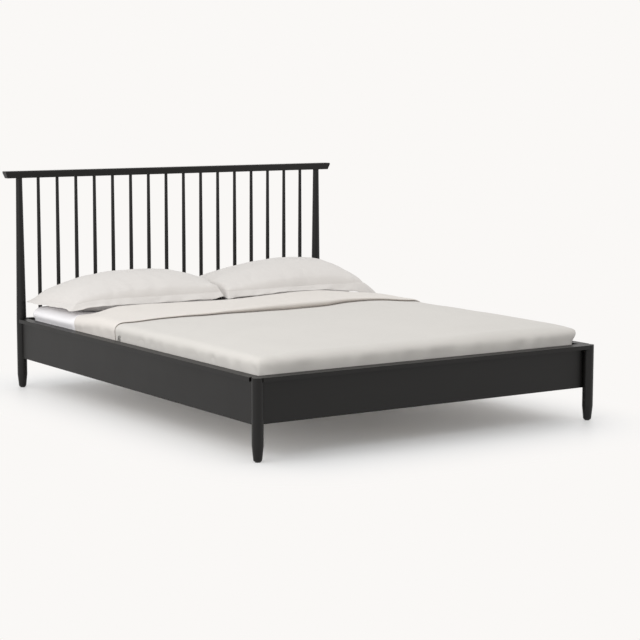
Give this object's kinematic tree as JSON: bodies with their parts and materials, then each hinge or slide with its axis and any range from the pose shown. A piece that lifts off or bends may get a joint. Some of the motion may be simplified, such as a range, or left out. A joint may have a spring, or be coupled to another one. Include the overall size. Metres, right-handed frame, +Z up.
{
  "type": "spindle bed",
  "caption": "Made-up double bed with a black lacquered frame: tapered round posts, a headboard of turned spindles under a bevelled crest rail, capped side rails, mattress, duvet and pillows",
  "frame": {"origin": "on the floor, under the middle of the outer box of the bed", "axes": "+X to the right seen from the foot end, +Y from the foot end to the headboard, +Z up"},
  "size_m": [1.812, 2.1654, 1.022],
  "materials": {
    "lacquered_wood": "satin black lacquer",
    "base_wood": "planed, unfinished",
    "slat_wood": "planed, unfinished",
    "steel": "zinc plated",
    "glide": "matte",
    "sheet": "smooth woven cotton",
    "quilt": "soft matte cotton",
    "pillowcase": "soft matte cotton"
  },
  "bodies": {
    "frame": {"beam_angles": "steel", "beam_screws": "steel", "centre_beam": "base_wood", "centre_leg_front": "lacquered_wood", "centre_leg_rear": "lacquered_wood", "corner_brackets": "steel", "corner_screws": "steel", "crest_rail": "lacquered_wood", "floor_glides": "glide", "foot_cap": "lacquered_wood", "foot_panel": "lacquered_wood", "foot_post_left": "lacquered_wood", "foot_post_right": "lacquered_wood", "headboard_lower_rail": "lacquered_wood", "headboard_post_left": "lacquered_wood", "headboard_post_right": "lacquered_wood", "joint_dowels": "base_wood", "ledger_screws": "steel", "side_cap_left": "lacquered_wood", "side_cap_right": "lacquered_wood", "side_panel_left": "lacquered_wood", "side_panel_right": "lacquered_wood", "slat_01": "slat_wood", "slat_02": "slat_wood", "slat_03": "slat_wood", "slat_04": "slat_wood", "slat_05": "slat_wood", "slat_06": "slat_wood", "slat_07": "slat_wood", "slat_08": "slat_wood", "slat_09": "slat_wood", "slat_10": "slat_wood", "slat_11": "slat_wood", "slat_12": "slat_wood", "slat_13": "slat_wood", "slat_14": "slat_wood", "slat_ledger_left": "base_wood", "slat_ledger_right": "base_wood", "spindle_01": "lacquered_wood", "spindle_02": "lacquered_wood", "spindle_03": "lacquered_wood", "spindle_04": "lacquered_wood", "spindle_05": "lacquered_wood", "spindle_06": "lacquered_wood", "spindle_07": "lacquered_wood", "spindle_08": "lacquered_wood", "spindle_09": "lacquered_wood", "spindle_10": "lacquered_wood", "spindle_11": "lacquered_wood", "spindle_12": "lacquered_wood", "spindle_13": "lacquered_wood", "spindle_14": "lacquered_wood", "spindle_15": "lacquered_wood", "spindle_16": "lacquered_wood"},
    "mattress": {"mattress": "sheet"},
    "duvet": {"duvet": "quilt"},
    "pillow_left": {"pillow_left": "pillowcase"},
    "pillow_right": {"pillow_right": "pillowcase"}
  },
  "joints": [
    {"name": "mattress_lift", "type": "slide", "parent": "frame", "child": "mattress", "axis": [0, 0, 1], "range_m": [0, 0.85]},
    {"name": "duvet_lift", "type": "slide", "parent": "mattress", "child": "duvet", "axis": [0, 0, 1], "range_m": [0, 0.75]},
    {"name": "pillow_left_lift", "type": "slide", "parent": "mattress", "child": "pillow_left", "axis": [0, 0, 1], "range_m": [0, 0.65]},
    {"name": "pillow_right_lift", "type": "slide", "parent": "mattress", "child": "pillow_right", "axis": [0, 0, 1], "range_m": [0, 0.65]}
  ]
}
